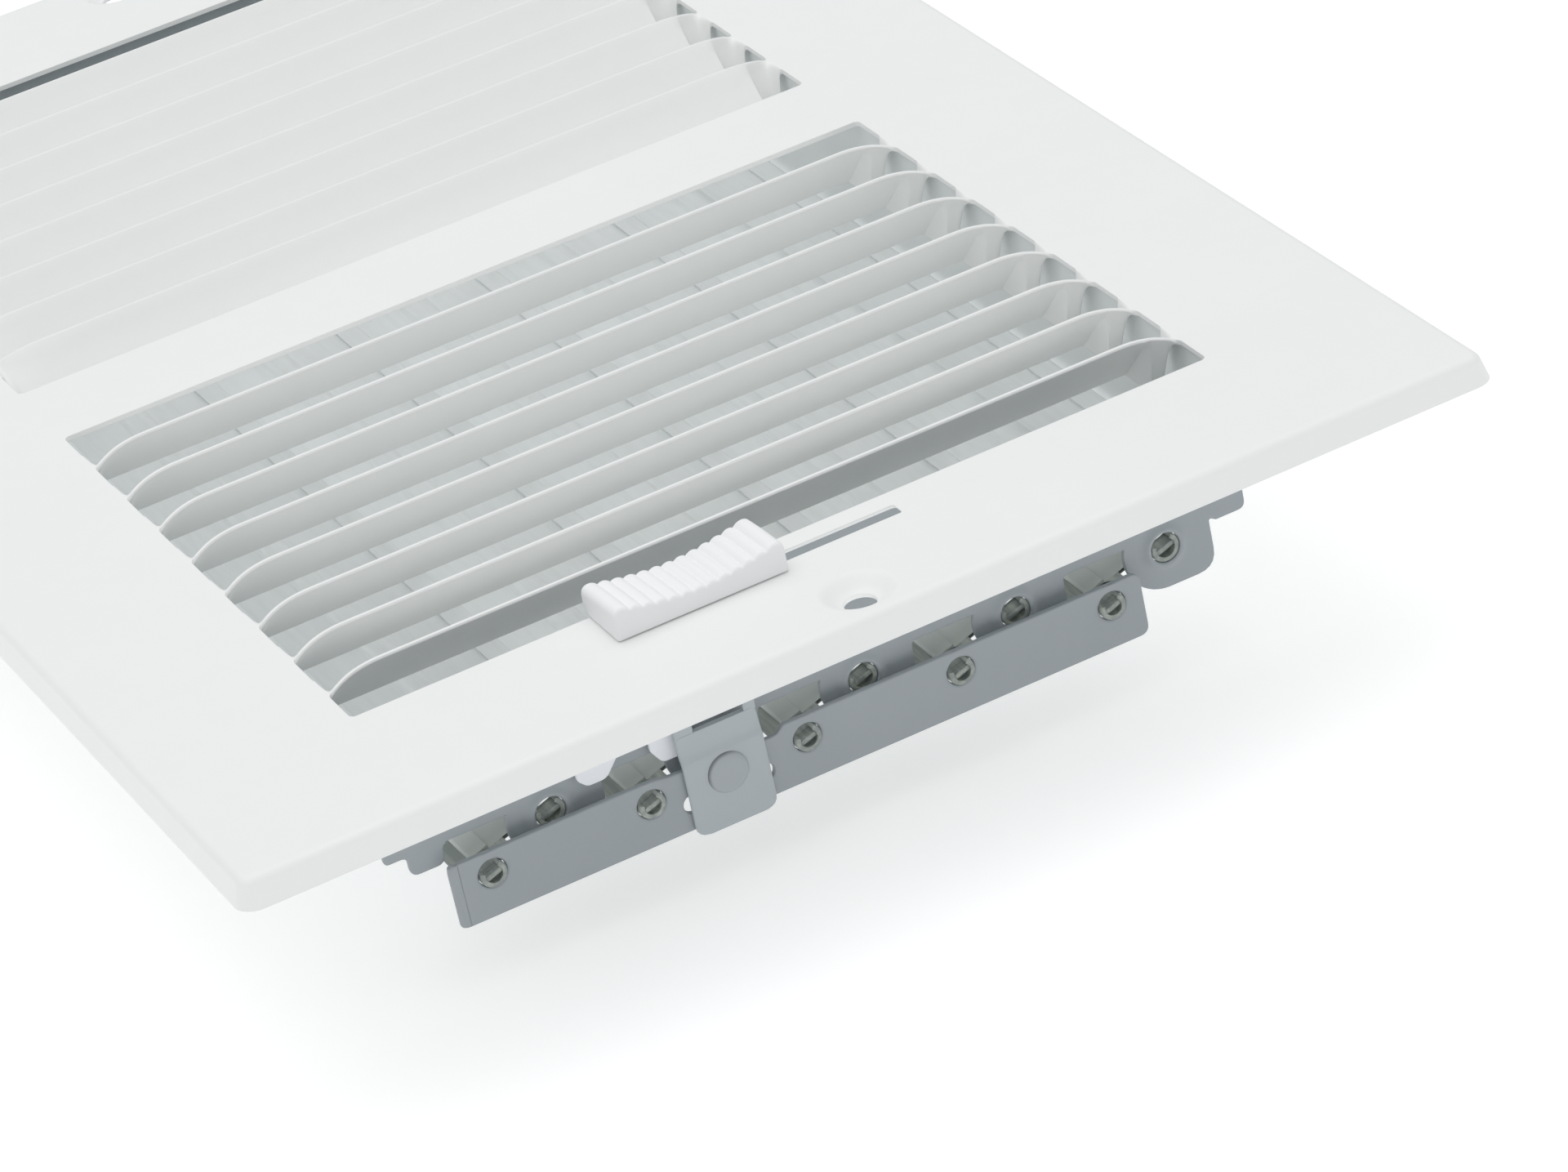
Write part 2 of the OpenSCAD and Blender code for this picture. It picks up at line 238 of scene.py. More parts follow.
M_FACE = coated("face_powder_coat", (0.895, 0.905, 0.89), (0.875, 0.888, 0.877), rough=0.44, peel=0.30)
# Painted shade: the end plates and link bar get a base colour darkened to stand in for the shadow they lie
# in under the face
M_SHEET_SHADED = coated("thin_sheet_painted_shade", (0.25, 0.283, 0.303), (0.228, 0.26, 0.28), rough=0.46, peel=0.45,
                 peel_scale=900, worn=0.5)
M_STRAP = coated("strap_coat", (0.345, 0.39, 0.413), (0.323, 0.366, 0.39), rough=0.44, peel=0.4,
                 peel_scale=900, worn=0.3)
# Blade wings: painted reflection streaks along Y, and painted shade towards the wing's ends
M_BLADE = coated("rolled_blade_sheet", (0.90, 0.93, 0.93), (0.88, 0.91, 0.91), rough=0.40, peel=0.3,
                 reflection_streak=(0.82, 0.86, 0.85), worn=0.4, ends=(0.27, 0.31, 0.28))
# Painted shade: the crank tabs are the blades' light sheet darkened to the tone it has in shadow, and their
# lighter streaks are painted reflections
M_TAB_SHADED = coated("crank_tab_painted_shade", (0.15, 0.178, 0.163), (0.17, 0.198, 0.183), rough=0.38, peel=0.3,
               reflection_streak=(0.34, 0.38, 0.33), worn=0.4)
M_KNOB = coated("moulded_white_plastic", (0.93, 0.935, 0.94), (0.915, 0.922, 0.93), rough=0.55, peel=0.12,
                peel_scale=2600, wave=0.03, specular=0.4, edge_r=0.0001)
M_CLIP = coated("white_coated_clip", (0.80, 0.83, 0.88), (0.77, 0.80, 0.85), rough=0.45, peel=0.3)
M_RAIL = coated("inner_rail_sheet", (0.74, 0.78, 0.78), (0.70, 0.74, 0.74), rough=0.46, peel=0.4, worn=0.4)
# The strap rivet head's coat carries a painted shadow crescent inside the head's upper left rim
M_HEAD = coated("strap_rivet_coat", (0.29, 0.325, 0.348), (0.268, 0.304, 0.326), rough=0.40, peel=0.3,
                worn=0.3, groove_shadow=(STRAP_X * MM, HEAD_Z * MM, HEAD_R * MM))
M_RIVET = coated("rivet_coat", (0.36, 0.405, 0.435), (0.335, 0.38, 0.41), rough=0.40, peel=0.3, worn=0.8)


# ---------------------------------------------------------------- mesh building
class Build:
    """Collects points in millimetres and faces, then makes one mesh piece of them."""

    def __init__(self):
        self.v, self.f = [], []

    def add(self, pts):
        start = len(self.v)
        self.v += [tuple(p) for p in pts]
        return list(range(start, start + len(pts)))

    def skin(self, loops, closed=True, cap0=False, cap1=False):
        """Joins loops of equal length by quads; cap0 and cap1 close the first and the last one."""
        ids = [self.add(loop) for loop in loops]
        n = len(ids[0])
        for a, b in zip(ids, ids[1:]):
            for k in range(n if closed else n - 1):
                j = (k + 1) % n
                self.f.append((a[k], a[j], b[j], b[k]))
        for cap, row in ((cap0, ids[0]), (cap1, ids[-1])):
            if cap:
                self.f.append(tuple(row))

    def fill(self, flat, place):
        """A flat area with holes: flat is a list of 2-D loops, place turns a 2-D point into a 3-D one."""
        ids = sum([self.add([place(x, y) for x, y in loop]) for loop in flat], [])
        for t in tessellate_polygon([[Vector((x, y, 0)) for x, y in loop] for loop in flat]):
            self.f.append(tuple(ids[i] for i in t))

    def make(self, name, body, mat, replaces=None, sharp=35, matrix=None):
        me = bpy.data.meshes.new(name)
        pts = [Vector(p) for p in self.v]
        if matrix is not None:
            pts = [matrix @ p for p in pts]
        me.from_pydata([p * MM for p in pts], [], self.f)
        bm = bmesh.new()
        bm.from_mesh(me)
        bmesh.ops.remove_doubles(bm, verts=bm.verts, dist=2e-6)
        bmesh.ops.dissolve_degenerate(bm, edges=bm.edges, dist=1e-6)
        bmesh.ops.recalc_face_normals(bm, faces=bm.faces)
        bm.to_mesh(me)
        bm.free()
        me.shade_smooth()
        me.set_sharp_from_angle(angle=math.radians(sharp))
        ob = bpy.data.objects.new(name, me)
        scene.collection.objects.link(ob)
        me.materials.append(mat)
        wn = ob.modifiers.new("weighted", "WEIGHTED_NORMAL")
        wn.keep_sharp = True
        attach(ob, body)
        if replaces:
            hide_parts(replaces)


def inset(loop, d):
    """Moves a loop to its left by d, so counter-clockwise outlines shrink and clockwise holes grow."""
    out, n = [], len(loop)
    for i in range(n):
        (ax, ay), (bx, by), (cx, cy) = loop[i - 1], loop[i], loop[(i + 1) % n]
        e1, e2 = Vector((bx - ax, by - ay)).normalized(), Vector((cx - bx, cy - by)).normalized()
        m = Vector((-e1.y - e2.y, e1.x + e2.x))
        if m.length < 1e-6:
            m = Vector((-e1.y, e1.x))
        m.normalize()
        cos = max(0.5, m.dot(Vector((-e1.y, e1.x))))
        out.append((bx + m.x * d / cos, by + m.y * d / cos))
    return out


def circle(cx, cy, r, n=40):
    return [(cx + r * math.cos(TAU * k / n), cy + r * math.sin(TAU * k / n)) for k in range(n)]


def arc(cx, cy, r, a0, a1, n):
    return [(cx + r * math.cos(math.radians(a0 + (a1 - a0) * k / n)),
             cy + r * math.sin(math.radians(a0 + (a1 - a0) * k / n))) for k in range(n + 1)]


def fillet(pts, radii, n=5):
    """Rounds the corners of a polygon; a radius of 0 keeps a corner."""
    out = []
    for i, p in enumerate(pts):
        r = radii[i] if isinstance(radii, (list, tuple)) else radii
        a, b, c = Vector(pts[i - 1]), Vector(p), Vector(pts[(i + 1) % len(pts)])
        u, w = (a - b), (c - b)
        if r <= 0 or u.length < 1e-9 or w.length < 1e-9:
            out.append(tuple(p))
            continue
        u.normalize()
        w.normalize()
        half = math.acos(max(-1, min(1, u.dot(w)))) / 2
        if half > 1.55:
            out.append(tuple(p))
            continue
        cut = min(r / math.tan(half), 0.49 * (a - b).length, 0.49 * (c - b).length)
        p0, p1 = b + u * cut, b + w * cut
        for k in range(n + 1):
            t = k / n
            out.append(tuple(p0 * (1 - t) ** 2 + b * 2 * t * (1 - t) + p1 * t ** 2))
    return out


def clockwise(loop):
    area = sum(loop[i - 1][0] * loop[i][1] - loop[i][0] * loop[i - 1][1] for i in range(len(loop)))
    return loop if area < 0 else loop[::-1]


def counter(loop):
    return clockwise(loop)[::-1]


ROUND = [(1 - math.sin(math.radians(a)), 1 - math.cos(math.radians(a))) for a in (0, 30, 60, 90)]


def plate(b, outer, holes, t, place, edge=0.15, open_holes=()):
    """Sheet of thickness t with rounded edges. open_holes are left for a collar to close."""
    loops = [counter(outer)] + [clockwise(h) for h in holes]
    rings = [(edge * d, t / 2 - edge * w) for d, w in ROUND]
    rings += [(edge * d, -t / 2 + edge * w) for d, w in ROUND[::-1]]
    for loop in loops:
        b.skin([[place(x, y, w) for x, y in (inset(loop, d) if d else loop)] for d, w in rings])
    tops = [inset(loop, edge) for loop in loops] + [clockwise(h) for h in open_holes]
    b.fill(tops, lambda x, y: place(x, y, t / 2))
    b.fill(tops, lambda x, y: place(x, y, -t / 2))


def front(y, side=-1):
    """Places a sheet drawn in X and Z so that its outer face looks along -Y (side -1) or +Y (side 1)."""
    return lambda x, z, w: (x, y + side * w, z)


def box(b, lo, hi, r=0.3, edge=0.12):
    """Upright block between two corners, with its four upright edges rounded by r."""
    outline = fillet([(lo[0], lo[1]), (hi[0], lo[1]), (hi[0], hi[1]), (lo[0], hi[1])], r)
    zc = (lo[2] + hi[2]) / 2
    plate(b, outline, [], hi[2] - lo[2], lambda x, y, w: (x, y, zc + w), edge)


def sweep_path(path, half):
    """Closed outline at a distance half on both sides of an open 2-D path."""
    n = len(path)
    sides = ([], [])
    for i in range(n):
        a, c = Vector(path[max(0, i - 1)]), Vector(path[min(n - 1, i + 1)])
        d = (c - a).normalized()
        nrm = Vector((-d.y, d.x)) * half
        sides[0].append(tuple(Vector(path[i]) + nrm))
        sides[1].append(tuple(Vector(path[i]) - nrm))
    return sides[0] + sides[1][::-1]


# ---------------------------------------------------------------- face
def smooth(t):
    t = max(0.0, min(1.0, t))
    return t * t * (3 - 2 * t)


def quick_rise(t):
    t = max(0.0, min(1.0, t))
    return 1 - (1 - t) ** 2.6


def rounded_loop(rad, z, n=8):
    """The face's outline at height z, with corners of radius rad."""
    pts = []
    for sx, sy, a0 in ((1, 1, 0), (-1, 1, 90), (-1, -1, 180), (1, -1, 270)):
        for x, y in arc(sx * CORNER_X, sy * CORNER_Y, rad, a0, a0 + 90, n):
            pts.append((x, y, z))
    return pts


# Steps across a louvre. Distances from the slot's end at which its section is set, close where it twists.
# Places of its plain stretch, which has the section of the distance PLAIN_S.
ACROSS = 8
NEAR_S = [0, 0.12, 0.28, 0.46, 0.66, 0.9, 1.15, 1.45, 1.8, 2.2, 2.8, 3.4, 3.8, 4.2, 4.75, 5.8, 7.0, 8.4, 10,
          12, 15, 20, 27]
MIDDLE_X = (-30, -18, -6, 6, 18, 30)
PLAIN_S = 30


def louvre_section(s, cheek):
    """Near and far edge of a louvre's middle line at a distance s from the slot's end, each a point (y, z)
    from the slot's near edge and the face's top. With a cheek the far edge stays back until s is cheek_s."""
    over_y, above_z = 1.36, 1.5
    reach_y, deep_z, lift_z = 5.68, 8.0, 0.8
    rise_len, drop_len, reach_len = 9.5, 1.7, 2.2
    cheek_s, cheek_len = 4.0, 0.7
    flare = SLOT_R - math.sqrt(max(0.0, SLOT_R ** 2 - (SLOT_R - min(s, SLOT_R)) ** 2))
    rise = quick_rise((s - 0.25) / rise_len)
    drop = smooth((s - 0.1) / drop_len)
    reach = smooth((s - cheek_s) / cheek_len) if cheek else smooth((s - 0.1) / reach_len)
    near = (SLOT_W - flare + over_y * rise, -T / 2 + (above_z + T / 2) * rise)
    far = (PITCH + flare + reach_y * reach, -T / 2 - drop * (deep_z - lift_z * reach))
    return near, far


def louvre_loop(x, s, y_base, flip):
    """Closed outline of a louvre's section at x, bowed between its edges and rounded at them."""
    (yn, zn), (yf, zf) = louvre_section(s, x > 0)
    d = Vector((yf - yn, zf - zn))
    d.normalize()
    nrm = Vector((-d.y, d.x))
    if nrm.y < 0:
        nrm = -nrm
    sag = 0.25 * smooth(s / 20)
    mids = []
    for k in range(ACROSS + 1):
        t = k / ACROSS
        mids.append(Vector((yn + (yf - yn) * t, zn + (zf - zn) * t)) - nrm * sag * 4 * t * (1 - t))
    r = T / 2
    bulge = smooth(s / 1.2)
    caps = [(math.sin(a) * r, math.cos(a) * r * bulge) for a in (math.radians(45), 0, math.radians(-45))]
    top = [m + nrm * r for m in mids]
    low = [m - nrm * r for m in mids]
    if bulge > 0.02:
        caps_far = [mids[-1] + nrm * up + d * out for up, out in caps]
        caps_near = [mids[0] - nrm * up - d * out for up, out in caps]
    else:
        caps_far = [mids[-1] + nrm * up for up in (r * 0.5, 0, -r * 0.5)]
        caps_near = [mids[0] + nrm * up for up in (-r * 0.5, 0, r * 0.5)]
    loop = top + caps_far + low[::-1] + caps_near
    return [(x, flip * (y_base + p.x), ZF + p.y) for p in loop]


def face_bank(b, flip):
    """Louvres of one bank and the walls of its opening. Returns the opening's outline seen from above."""
    base = -FIELD_Y
    stations = [(-SLOT_HALF + s, s) for s in NEAR_S] + [(x, PLAIN_S) for x in MIDDLE_X]
    stations += [(SLOT_HALF - s, s) for s in NEAR_S[::-1]]
    for i in range(LOUVRES):
        b.skin([louvre_loop(x, s, base + i * PITCH, flip) for x, s in stations])
    levels = [-T * k / 4 for k in range(5)]

    def column(x, y):
        return [(x, flip * y, ZF + dz) for dz in levels]

    def corner(cx, cy, a0, a1):
        return arc(cx, cy, SLOT_R, a0, a1, 5)

    end_x = SLOT_HALF - SLOT_R
    near_pts = corner(-end_x, base + SLOT_R, 180, 270) + corner(end_x, base + SLOT_R, 270, 360)
    far_pts = corner(end_x, -BAND - SLOT_R, 0, 90) + corner(-end_x, -BAND - SLOT_R, 90, 180)
    root_w = PITCH - SLOT_W + 2 * SLOT_R
    roots = []
    for i in range(LOUVRES):
        y0 = base + i * PITCH + SLOT_W - SLOT_R
        roots.append([y0 + root_w * k / ACROSS for k in range(ACROSS + 1)])
    right = [(SLOT_HALF, y) for row in roots for y in row]
    left = [(-SLOT_HALF, y) for row in roots[::-1] for y in row[::-1]]
    outline = near_pts + right + far_pts + left
    n = len(outline)
    for k in range(n):
        p, q = outline[k], outline[(k + 1) % n]
        lo, hi = sorted((p[1], q[1]))
        at_end = p[0] == q[0] and abs(abs(p[0]) - SLOT_HALF) < 1e-6
        if not (at_end and any(lo > r[0] - 1e-6 and hi < r[-1] + 1e-6 for r in roots)):
            b.skin([column(*p), column(*q)], closed=False)
    return [(x, flip * y) for x, y in outline]


def make_face():
    """The stamped face: folded rim, two louvred openings, slider slot and two countersunk screw holes.
    The rim's profile is (corner radius, height) and the dimple's is (radius, height)."""
    b = Build()
    lean, bend_r, wall_r = 16, 1.6, 0.8
    sin, cos, tan = (f(math.radians(lean)) for f in (math.sin, math.cos, math.tan))
    bend_z = ZF - bend_r
    bend_x = CORNER_R - bend_r * cos - (bend_z + bend_r * sin) * tan
    foot_in = bend_x + wall_r * cos + (bend_z + wall_r * sin) * tan
    flat = bend_x - 0.25
    out = [(flat, ZF)] + arc(bend_x, bend_z, bend_r, 90, lean, 9)
    out += [(CORNER_R - 0.10, 0.35), (CORNER_R - 0.03, 0.12), (CORNER_R - 0.2, 0)]
    inner = [(foot_in + 0.2, 0), (foot_in - 0.02, 0.2)] + arc(bend_x, bend_z, wall_r, lean, 90, 6)
    inner += [(flat, UNDER)]
    b.skin([rounded_loop(r, z) for r, z in out + inner])
    banks = [face_bank(b, 1), face_bank(b, -1)]
    y0, y1 = SLIDE_Y - SLIDE_HALF, SLIDE_Y + SLIDE_HALF
    corner, undercut, edge_t = 0.35, 0.55, 0.12
    slide = fillet([(SLIDE_X0, y0), (SLIDE_X1, y0), (SLIDE_X1, y1), (SLIDE_X0, y1)], corner, 3)
    slide_low = inset(clockwise(slide), undercut)
    b.skin([[(x, y, ZF) for x, y in clockwise(slide)], [(x, y, ZF - edge_t) for x, y in clockwise(slide)],
            [(x, y, UNDER) for x, y in slide_low]])
    screw_r = 2.4
    dimple = [(DIMPLE_R, ZF), (5.65, ZF), (5.4, 4.36), (5.0, 4.2), (4.4, 3.88), (3.8, 3.36), (3.2, 2.82),
              (2.8, 2.5), (2.5, 2.34), (screw_r, 2.24), (screw_r, 1.7), (2.47, 1.62), (3.0, 1.64),
              (3.5, 1.95), (4.4, 2.68), (5.2, 3.36), (5.55, 3.56), (DIMPLE_R, UNDER)]
    for cy in (-SCREW_Y, SCREW_Y):
        b.skin([[(x, y, z) for x, y in circle(0, cy, r, 56)] for r, z in dimple])
    edge = [(x, y) for x, y, z in rounded_loop(flat, 0)]
    screws = [circle(0, cy, DIMPLE_R, 56) for cy in (-SCREW_Y, SCREW_Y)]
    b.fill([edge] + banks + [slide] + screws, lambda x, y: (x, y, ZF))
    b.fill([edge] + banks + [slide_low] + screws, lambda x, y: (x, y, UNDER))
    b.make("stamped_face", "frame", M_FACE, "face_plate", sharp=40)


make_face()


# ---------------------------------------------------------------- damper frame
def collar(b, cx, cz, y_of, n=40):
    """Extruded collar round a pivot hole: y_of(w) gives Y at a height w above the plate's middle."""
    half_t, hole = PLATE_T / 2, PIVOT_HOLE_R
    prof = [(COLLAR_R, half_t), (4.2, 0.42), (3.8, 0.5), (3.45, 0.66), (3.15, 0.84), (2.95, 0.97),
            (2.75, 1.0), (2.55, 0.97), (2.42, 0.85), (hole, 0.6), (hole, -0.2), (2.5, -0.34),
            (2.75, -half_t), (3.4, -half_t), (COLLAR_R, -half_t)]
    b.skin([[(x, y_of(w), z) for x, z in circle(cx, cz, r, n)] for r, w in prof])


def end_plate(name, side, node_name):
    """Sheet with a drop tab at the left, a lobe and a collar for each pivot, and two feet under the face."""
    b = Build()
    y = side * (PLATE_Y - PLATE_T / 2)
    tab_x0, tab_x1, tab_z = -66.2, -60.8, -22.1
    ear_x, ear_z, step_z = 63.4, -27.6, -20.2
    pts = [(-PLATE_X, SEAT_Z), (-PLATE_X, PLATE_Z), (tab_x0, PLATE_Z), (tab_x0, tab_z), (tab_x1, tab_z),
           (tab_x1, PLATE_Z)]
    rad = [0, 0.8, 1.0, 1.4, 1.4, 1.2]
    a = math.degrees(math.acos((PLATE_Z - PIVOT_Z) / LOBE_R))
    for px in PIVOTS:
        lobe = arc(px, PIVOT_Z, LOBE_R, 90 + a, 268, 14)
        pts += lobe
        rad += [0] * len(lobe)
        if px != PIVOTS[-1]:
            pts += [(px + 2.6, -27.1), (px + 8.5, -24.6), (px + 8.5, PLATE_Z)]
            rad += [2.0, 2.0, 0.8]
    pts += [(ear_x, ear_z), (ear_x, -19.5), (64.5, step_z), (69.5, step_z), (PLATE_X, SEAT_Z)]
    rad += [3.2, 0.9, 0.7, 1.3, 0]
    collars = [circle(px, PIVOT_Z, COLLAR_R) for px in PIVOTS]
    plate(b, fillet(pts, rad), [], PLATE_T, front(y, side), 0.16, open_holes=collars)
    for px in PIVOTS:
        collar(b, px, PIVOT_Z, lambda w: y + side * w)
    feet, foot_len = ((-66, -48), (22, 62)), 7
    for x0, x1 in feet:
        lo, hi = sorted((side * (PLATE_Y - 0.3), side * (PLATE_Y + foot_len)))
        box(b, (x0, lo, UNDER - PLATE_T), (x1, hi, SEAT_Z), 0.8)
    b.make(name, "frame", M_SHEET_SHADED, node_name)


end_plate("front_end_sheet", -1, "front_end_plate")
end_plate("rear_end_sheet", 1, "rear_end_plate")


def side_rail(name, s, lip, node_name):
    """Sheet along Y with a corner tab at each end; its foot is folded inwards by lip, if that isn't 0."""
    b = Build()
    half_t, bend_r = 0.35, 1.0
    x0 = PLATE_X - half_t
    foot = PLATE_Z + half_t
    if lip:
        bend = [(s * x, z) for x, z in arc(x0 - bend_r, foot + bend_r, bend_r, 0, -90, 5)]
        path = [(s * x0, SEAT_Z)] + bend + [(s * (PLATE_X - lip), foot)]
    else:
        path = [(s * x0, SEAT_Z), (s * x0, PLATE_Z)]
    ring = sweep_path(path, half_t)
    end_y, inner_y = 120.15, 119.9
    ys = (-end_y, -inner_y, inner_y, end_y)
    b.skin([[(x, y, z) for x, z in ring] for y in ys])
    for y in (ys[0], ys[-1]):
        b.fill([counter(ring)], lambda x, z, y=y: (x, y, z))
    tab_x0, tab_x1, tab_z, tab_y, tab_t = 60.0, 69.0, -16, 119.83, 0.66
    tab = [(s * tab_x1, tab_z), (s * tab_x1, SEAT_Z), (s * tab_x0, SEAT_Z), (s * tab_x0, tab_z)]
    tab = fillet(tab, [0.3, 0, 0, 2.5])
    rivet_hole = circle(s * RIVET_X, RIVET_Z, 1.7, 24)
    for e in (-1, 1):
        plate(b, tab, [rivet_hole], tab_t, front(e * tab_y, e), 0.12)
    b.make(name, "frame", M_RAIL, node_name)


side_rail("left_rail_sheet", -1, 11.3, "left_side_rail")
side_rail("right_rail_sheet", 1, 0, "right_side_rail")


def corner_rivets():
    """Four domed rivets; the profile is (radius, height over the end plate's outer face)."""
    b = Build()
    prof = [(0.001, 1.08), (0.7, 1.04), (1.4, 0.9), (2.1, 0.62), (2.55, 0.32), (2.68, 0.12), (2.62, 0.0),
            (1.6, 0.0), (1.6, -1.5), (2.3, -1.52), (2.4, -1.66), (2.3, -1.95), (1.7, -2.1), (1.1, -2.08),
            (0.8, -1.8), (0.001, -1.8)]
    for sx in (-1, 1):
        for sy in (-1, 1):
            rings = [(circle(sx * RIVET_X, RIVET_Z, r, 32), sy * (PLATE_Y + w)) for r, w in prof]
            b.skin([[(x, y, z) for x, z in ring] for ring, y in rings])
    b.make("corner_rivets", "frame", M_RIVET, "frame_rivets")


corner_rivets()


# ---------------------------------------------------------------- damper blades
def blade_path():
    """Middle line of a wing's section: a rolled hem at each side and a stiffening bead over the pivot."""
    hem_r, hem_w, bead_r = 0.3, 3.0, 1.66
    edge = -WING_HALF
    left = [(edge + hem_w, 2 * hem_r), (edge + 0.32, 2 * hem_r)]
    left += arc(edge + 0.32, hem_r, hem_r, 105, 255, 5) + [(edge + 0.34, 0)]
    bead = [(-2.3, 0.0), (-2.0, 0.05)] + arc(0, 0.0, bead_r, 165, 15, 12) + [(2.0, 0.05), (2.3, 0.0)]
    right = [(-x, z) for x, z in left[::-1]]
    return left + [(-7.5, 0), (-4.0, 0)] + bead + [(4.0, 0), (7.5, 0)] + right


def tongue(b, y0, y1, r, cx=0.0):
    """Rolled tongue from y0 to y1: a tube slit along its upper side, with a web and a disc inside."""
    wall, slit = 0.62, 38
    turns = [math.radians(slit - (180 + 2 * slit) * k / 22) for k in range(23)]

    def ring(rr):
        outer = [(cx + rr * math.cos(a), rr * math.sin(a)) for a in turns]
        inner = [(cx + (rr - wall) * math.cos(a), (rr - wall) * math.sin(a)) for a in turns[::-1]]
        return outer + inner

    rows = [(y0, r - 0.18), (y0 + 0.12, r - 0.05), (y0 + 0.35, r), (y1, r)]
    b.skin([[(x, y, z) for x, z in ring(rr)] for y, rr in rows])
    for y, rr in (rows[0], rows[-1]):
        b.fill([clockwise(ring(rr))], lambda x, z, y=y: (x, y, z))
    mid = (y0 + y1) / 2
    x0, x1 = cx - r + 0.5, cx + r - 0.5
    web = fillet([(x0, -0.55), (x1, -0.55), (x1, 0.25), (x0, 0.25)], 0.3, 3)
    plate(b, web, [], y1 - y0 - 0.5, lambda x, z, w: (x, mid + w, z), 0.12)
    disc = circle(cx, 0, r - 0.5, 28)
    plate(b, disc, [], 0.5, lambda x, z, w: (x, mid + 0.3 + w, min(z, 0.28)), 0.1)


def blade(i):
    """Wing and crank tab of a blade, drawn level about its pivot and then turned to its tilt."""
    name, body = f"damper_blade_{i + 1}", f"blade_{i + 1}"
    cos, sin = math.cos(TILT), math.sin(TILT)
    turn = Matrix(((cos, 0, -sin, PIVOTS[i]), (0, 1, 0, 0), (sin, 0, cos, PIVOT_Z), (0, 0, 0, 1)))
    pivot_r, crank_pin_r, half_t, end_y, inner_y = 2.3, 2.1, 0.3, 118.95, 118.8
    b = Build()
    ring = sweep_path(blade_path(), half_t)
    ys = [-end_y, -inner_y] + [-110 + 20 * k for k in range(12)] + [inner_y, end_y]
    b.skin([[(x, y, z) for x, z in ring] for y in ys])
    for y in (ys[0], ys[-1]):
        b.fill([counter(ring)], lambda x, z, y=y: (x, y, z))
    tongue(b, 118.0, 121.5, pivot_r)
    b.make(f"{name}_wing", body, M_BLADE, name, matrix=turn)
    c = Build()
    tab = [(-15.5, -122.55), (-7.25, -122.55), (-7.25, -118.6), (-11.75, -110), (-15.5, -112)]
    tab = fillet(tab, [0.9, 0.9, 0.2, 0.2, 1.5])
    plate(c, tab, [], 0.56, lambda x, y, w: (x, y, w), 0.14)
    tongue(c, -124.45, -122.2, crank_pin_r, cx=-CRANK_R)
    tongue(c, -121.45, -118.3, pivot_r)
    c.make(f"{name}_crank", body, M_TAB_SHADED, matrix=turn)


for i in range(BLADES):
    blade(i)


# ---------------------------------------------------------------- linkage
def link_bar():
    """Bar with a collared hole for each crank, an oblong slot behind the strap and a curled left end."""
    b = Build()
    half_t, hole_r, lip = 0.48, 3.5, 0.499
    slot_r, slot_half, slot_z = 1.4, 5.85, PIN_Z - 2.65
    z0, z1 = PIN_Z - 6.8, PIN_Z + 3.5
    outline = [(-60.4, z0), (49.6, z0), (49.6, z1 - 0.1), (-8.8, z1), (-10.0, z1 - 1.1), (-13.5, z1 - 1.2),
               (-27.0, z1 - 0.5), (-30.0, z1), (-60.4, z1)]
    outline = fillet(outline, [0, 1.6, 1.6, 1.2, 1.5, 3, 2, 2, 0])
    oblong = arc(STRAP_X + slot_half, slot_z, slot_r, -90, 90, 12)
    oblong += arc(STRAP_X - slot_half, slot_z, slot_r, 90, 270, 12)
    holes = [px + PIN_DX for px in PIVOTS]
    collars = [circle(x, PIN_Z, hole_r) for x in holes]
    plate(b, outline, [oblong], 2 * half_t, front(BAR_Y), 0.22, open_holes=collars)
    prof = [(hole_r, half_t), (3.2, 0.49), (2.95, 0.53), (2.7, 0.54), (2.45, 0.5), (2.28, 0.4), (2.2, 0.2),
            (2.2, -0.3), (2.3, -0.44), (2.5, -half_t), (hole_r, -half_t)]
    for x0 in holes:
        b.skin([[(x, BAR_Y - min(w, lip), z) for x, z in circle(x0, PIN_Z, r)] for r, w in prof])
    curl = [(-60.4, 0), (-60.8, 0.02), (-61.1, 0.12), (-61.35, 0.32), (-61.45, 0.6), (-61.4, 0.85)]
    ring = sweep_path(curl, 0.30)
    rows = [(z0 + 0.1, 0.9), (z0 + 0.5, 1.0), (z0 + 1.5, 1.0), (z1 - 1.4, 1.0), (z1 - 0.5, 0.9),
            (z1 - 0.1, 0.55)]
    root_x, curl_y = -60.3, BAR_Y - 0.18
    loops = [[(root_x + (x - root_x) * k, curl_y + y, z) for x, y in ring] for z, k in rows]
    b.skin(loops, cap0=True, cap1=True)
    b.make("link_bar_sheet", "linkage", M_SHEET_SHADED, "link_bar")


link_bar()


